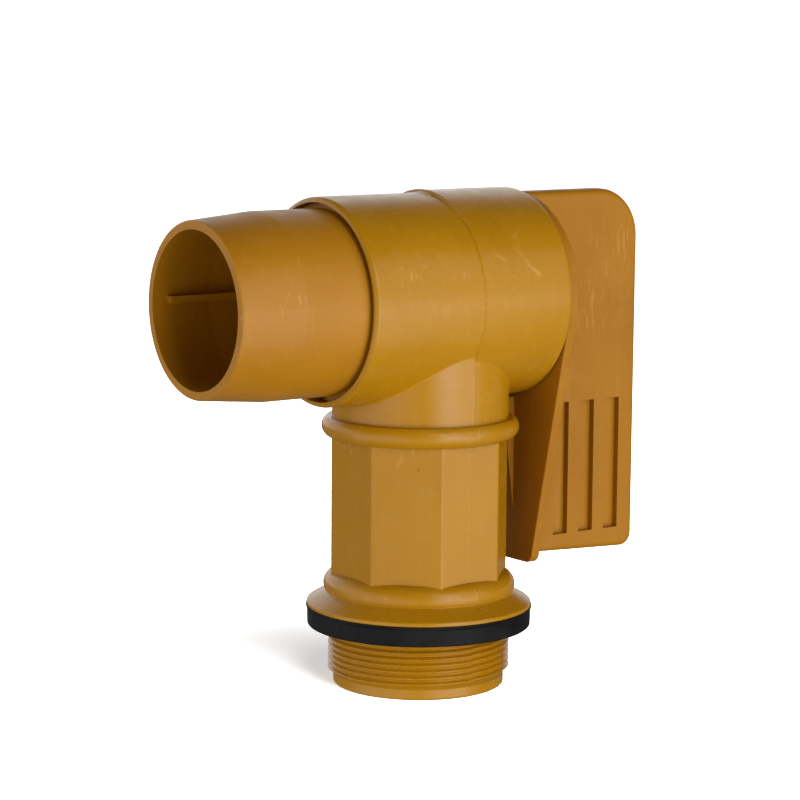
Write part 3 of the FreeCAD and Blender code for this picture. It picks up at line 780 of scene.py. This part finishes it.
def mould_line(name, side):
    """height(y) = step * (1 + y / fade) in front of the plane, plus a narrow ridge on it."""
    y = STRIP_PLACES
    outline = stem_outline()
    tangent = np.gradient(outline, axis=0)
    tangent /= np.linalg.norm(tangent, axis=1, keepdims=True)
    outward = np.stack([tangent[:, 1], -tangent[:, 0]], 1)
    proud = np.where(y <= 0.0, np.clip(1.0 + y / STEP_FADE, 0.0, 1.0), ramp_down(y, *REAR_FALL))
    straight = np.abs(outward[:, 1]) < 0.02
    step = np.where(straight, STEP_ON_STRAIGHT, STEP_HEIGHT)[:, None]
    lifted = (outline[:, 1] > FLANGE_Z + FLANGE_EDGE) & (outline[:, 1] < NECK_TOP_Z - 0.5 * MM)
    wobble = 0.75 + 0.25 * np.sin(outline[:, 1] / MM * 1.9) * np.sin(outline[:, 1] / MM * 0.7 + 1.0)
    rise = step * proud[None, :] + RIDGE_HEIGHT * np.exp(-((y / RIDGE_WIDTH) ** 2))[None, :]
    rise = rise * (wobble * lifted)[:, None] - SUNK * (np.abs(y) > RIDGE_TUCK)[None, :]
    radius = outline[:, :1] + outward[:, :1] * rise
    height = outline[:, 1:] + outward[:, 1:] * rise
    on_flat = (outline[:, 0] < OCTAGON_HALF + 0.05 * MM)[:, None]
    turn = y[None, :] / np.maximum(radius, 1e-6)
    x = np.where(on_flat, radius, radius * np.cos(turn))
    across = np.where(on_flat, y[None, :], radius * np.sin(turn))
    points = np.stack([side * x, across, height], -1)
    faces = grid_faces(len(outline), len(y), closed=False)
    if side < 0:
        faces = faces[:, ::-1]
    return mesh_object(name, points.reshape(-1, 3), faces)


for name, side in (("mould_line_right", 1.0), ("mould_line_left", -1.0)):
    finish_piece(mould_line(name, side), "body", body_plastic)

# %% [markdown]
# ## The flake of flash
# The barrel's own mould line is in the CAD model. On top of it, next to the line, plastic was
# squeezed out between the halves and left a thin flake. It is a low mound on the barrel, highest
# at the line, where it ends sharply.

# %% The flake of flash on top of the barrel
FLAKE_HEIGHT = 0.8 * MM
FLAKE_DEGREES = (74, 96)      # round the barrel, from its right side
FLAKE_MIDDLE, FLAKE_HALF_DEGREES = 85.0, 9.5
FLAKE_PLACES = (-6.2, 0.3)    # along the barrel, in millimetres
FLAKE_START, FLAKE_LENGTH = -6.0, 5.4
FLAKE_GRID = 40


def flash_flake():
    """A low mound on the front half of the barrel, next to the mould line, with a sharp rear."""
    turns = np.radians(np.linspace(*FLAKE_DEGREES, FLAKE_GRID))
    turn, y = np.meshgrid(turns, np.linspace(*FLAKE_PLACES, FLAKE_GRID) * MM)
    across = np.clip(1.0 - ((np.degrees(turn) - FLAKE_MIDDLE) / FLAKE_HALF_DEGREES) ** 2, 0.0, 1.0)
    forward = np.clip((y / MM - FLAKE_START) / FLAKE_LENGTH, 0.0, 1.0) ** 1.4
    ragged = 0.85 + 0.15 * np.sin(np.degrees(turn) * 1.1) * np.cos(y / MM * 3.0)
    radius = FRONT_R - SUNK + FLAKE_HEIGHT * np.sqrt(across) * forward * ragged
    points = np.stack([radius * np.cos(turn), y, BARREL_Z + radius * np.sin(turn)], -1)
    faces = grid_faces(FLAKE_GRID, FLAKE_GRID, closed=False)[:, ::-1]
    return mesh_object("flash_flake", points.reshape(-1, 3), faces)


finish_piece(flash_flake(), "body", body_plastic)

# %% [markdown]
# ## The pimple below the bead
# A pit in the mould left a pimple on the stem's front-right flat. It is a flattened dome that
# stands on the flat.

# %% The pimple
PIMPLE_R = 0.55 * MM
PIMPLE_HEIGHT = 0.3 * MM
PIMPLE_ASIDE = 4.2 * MM
PIMPLE_Z = 74.8 * MM
PIMPLE_TUCK = 0.02 * MM
FLAT_DEGREES = -45
PIMPLE_COLUMNS, PIMPLE_ROWS = 24, 8


def mould_pimple():
    """height = full height * sqrt(1 - (distance / radius)^2), over the flat."""
    turns = np.linspace(0, 2 * np.pi, PIMPLE_COLUMNS, endpoint=False)
    turn, part = np.meshgrid(turns, np.linspace(0.04, 1.0, PIMPLE_ROWS))
    outward = np.array([math.cos(math.radians(FLAT_DEGREES)), math.sin(math.radians(FLAT_DEGREES)), 0.0])
    sideways = np.array([-outward[1], outward[0], 0.0])
    upward = np.array([0.0, 0.0, 1.0])
    centre = outward * (OCTAGON_HALF - PIMPLE_TUCK) + sideways * PIMPLE_ASIDE + upward * PIMPLE_Z
    radius, height = PIMPLE_R * part, PIMPLE_HEIGHT * np.sqrt(1.0 - (0.999 * part) ** 2)
    points = centre + (radius * np.cos(turn))[..., None] * sideways
    points = points + (radius * np.sin(turn))[..., None] * upward + height[..., None] * outward
    faces = [tuple(range(PIMPLE_COLUMNS))]
    faces += [tuple(f) for f in grid_faces(PIMPLE_ROWS, PIMPLE_COLUMNS)[:, ::-1]]
    return mesh_object("mould_pimple", points.reshape(-1, 3), faces)


finish_piece(mould_pimple(), "body", body_plastic)

# %% [markdown]
# ## The table
# The tap stands on a light table, a white sheet that glows by itself, so that the tap's shadow stays pale.
# The glow is painted light, and it is not even: it is weak within 0.12 m of the tap and rises to almost white
# by 1.15 m, so it paints the sheet darker round the tap and keeps it white far off. Seen from the camera the
# sheet runs on to the horizon. It is left out of the light that falls on the tap, because a sheet white
# enough for the picture would flood every underside.

# %% The table
TABLE_HALF_SIZE = 30.0
GLOW_NEAR = 0.42
GLOW_FAR = 0.98
NEAR_END, FAR_START = 0.12, 1.15     # metres from the tap
corners = [(-1, -1), (1, -1), (1, 1), (-1, 1)]
table_points = [(x * TABLE_HALF_SIZE, y * TABLE_HALF_SIZE, 0.0) for x, y in corners]
table = mesh_object("table", table_points, [(0, 1, 2, 3)])
table_look, tree, shader, where = empty_material("table_look")
far_away = add(tree, "ShaderNodeVectorMath", {0: where}, operation="LENGTH").outputs["Value"]
# painted glow: dimmer round the tap, which paints the sheet darker there, and almost white far off
painted_glow = ramp(tree, far_away, NEAR_END, FAR_START, GLOW_NEAR, GLOW_FAR)
tree.links.new(painted_glow, shader.inputs["Emission Strength"])
shader.inputs["Emission Color"].default_value = (1.0, 1.0, 1.0, 1.0)
shader.inputs["Base Color"].default_value = (0.8, 0.8, 0.8, 1.0)
shader.inputs["Roughness"].default_value = 0.8
shader.inputs["Specular IOR Level"].default_value = 0.2
table.data.materials.append(table_look)
table.visible_diffuse = False
table.visible_glossy = False
table.visible_shadow = False
print("table:", 2 * TABLE_HALF_SIZE, "m across")

# %% [markdown]
# ## The room
# What the gloss mirrors is the room. Above the table it is dark, which gives the barrel its deep
# band, apart from white paper that sweeps up behind the tap and at its left. Below the table's
# level the light is what the sheet throws back: much of it under the lamps at the right, less at
# the left, and little elsewhere, where the tap shades the sheet. A thin light strip at the
# horizon joins the sheet to the paper.

# %% The room
HORIZON_LIGHT = 0.97
ROOM_LIGHT = 0.03
LIGHT_FROM_BELOW = 0.15
PAPER = (275.0, 50.0, 80.0, 1.35)     # bearing, full within, gone beyond, all in degrees, and strength
RIGHT_GLOW = (99.0, 12.0, 40.0, 2.6)
LEFT_GLOW = (5.0, 20.0, 62.0, 1.25)
world = bpy.data.worlds.new("studio")
bpy.context.scene.world = world
world.use_nodes = True
tree = world.node_tree
tree.nodes.clear()
direction = add(tree, "ShaderNodeTexCoord").outputs["Generated"]
up = add(tree, "ShaderNodeSeparateXYZ", {0: direction}).outputs["Z"]
flat = add(tree, "ShaderNodeVectorMath", {0: direction, 1: (1.0, 1.0, 0.0)}, operation="MULTIPLY").outputs[0]
flat = add(tree, "ShaderNodeVectorMath", {0: flat}, operation="NORMALIZE").outputs[0]


def glow(bearing, full, gone, strength):
    """Light from one bearing, measured as the camera's is: full within that many degrees of it,
    and gone beyond the other."""
    bearing, full, gone = (math.radians(v) for v in (bearing, full, gone))
    level = (math.sin(bearing), -math.cos(bearing), 0.0)
    facing = add(tree, "ShaderNodeVectorMath", {0: flat, 1: level}, operation="DOT_PRODUCT").outputs["Value"]
    return ramp(tree, facing, math.cos(gone), math.cos(full), 0.0, strength)


above = ramp(tree, up, 0.012, 0.03, HORIZON_LIGHT, ROOM_LIGHT)
paper = maths(tree, "MULTIPLY", glow(*PAPER), ramp(tree, up, 0.4, 0.8, 1.0, 0.0))
above = maths(tree, "MAXIMUM", above, paper)
mirrored = maths(tree, "ADD", glow(*RIGHT_GLOW), glow(*LEFT_GLOW))
mirrored = maths(tree, "MULTIPLY", mirrored, ramp(tree, up, -0.7, -0.58))
below = maths(tree, "ADD", mirrored, LIGHT_FROM_BELOW)
room = blend_light(tree, ramp(tree, up, -0.035, -0.015), below, above)
background = add(tree, "ShaderNodeBackground", {"Color": (1.0, 1.0, 1.0, 1.0), "Strength": room})
add(tree, "ShaderNodeOutputWorld", {"Surface": background.outputs[0]})
print("room:", len(tree.nodes), "nodes")

# %% [markdown]
# ## Soft boxes
# Three lamps stand beside the tap and light it alone. At its right a narrow one draws the bright
# lines on neck, bead and collar, and a wide sheet behind it lets them fade out. A weaker one stands
# at the left. The fourth is a wide and strong one at the right that lights only the table, which
# makes the sheet white and puts the tap's short shadow at its left.

# %% The soft boxes
TAP_MIDDLE = Vector((0.0, 0.0, 0.09))
LAMP_DISTANCE = 1.3


def soft_box(name, azimuth, elevation, width, height, power):
    """A lamp at that bearing from the tap, measured as the camera's is, facing the tap."""
    a, e = math.radians(azimuth), math.radians(elevation)
    away = Vector((math.sin(a) * math.cos(e), -math.cos(a) * math.cos(e), math.sin(e)))
    lamp = bpy.data.lights.new(name, "AREA")
    lamp.shape = "RECTANGLE"
    lamp.size, lamp.size_y = width, height
    lamp.energy = power
    obj = bpy.data.objects.new(name, lamp)
    bpy.context.scene.collection.objects.link(obj)
    obj.location = TAP_MIDDLE + away * LAMP_DISTANCE
    obj.rotation_euler = away.to_track_quat("Z", "Y").to_euler()
    obj.visible_camera = False
    print(f"{name}: {power} W, {width} x {height} m")
    return obj


def light_only(lamp, state):
    """With INCLUDE the lamp lights the table and nothing else, with EXCLUDE all but the table."""
    receivers = bpy.data.collections.new("lit_by_" + lamp.name)
    receivers.objects.link(table)
    lamp.light_linking.receiver_collection = receivers
    receivers.collection_objects[0].light_linking.link_state = state


light_only(soft_box("right_box", 90.0, 18.0, 0.62, 1.3, 5.9), "EXCLUDE")
light_only(soft_box("right_sheet", 108.0, 17.0, 1.5, 1.3, 6.7), "EXCLUDE")
light_only(soft_box("left_box", 5.0, 11.0, 1.1, 0.8, 2.9), "EXCLUDE")
light_only(soft_box("table_box", 99.0, 42.0, 1.7, 1.3, 135.0), "INCLUDE")
bpy.context.scene.view_settings.view_transform = "Standard"
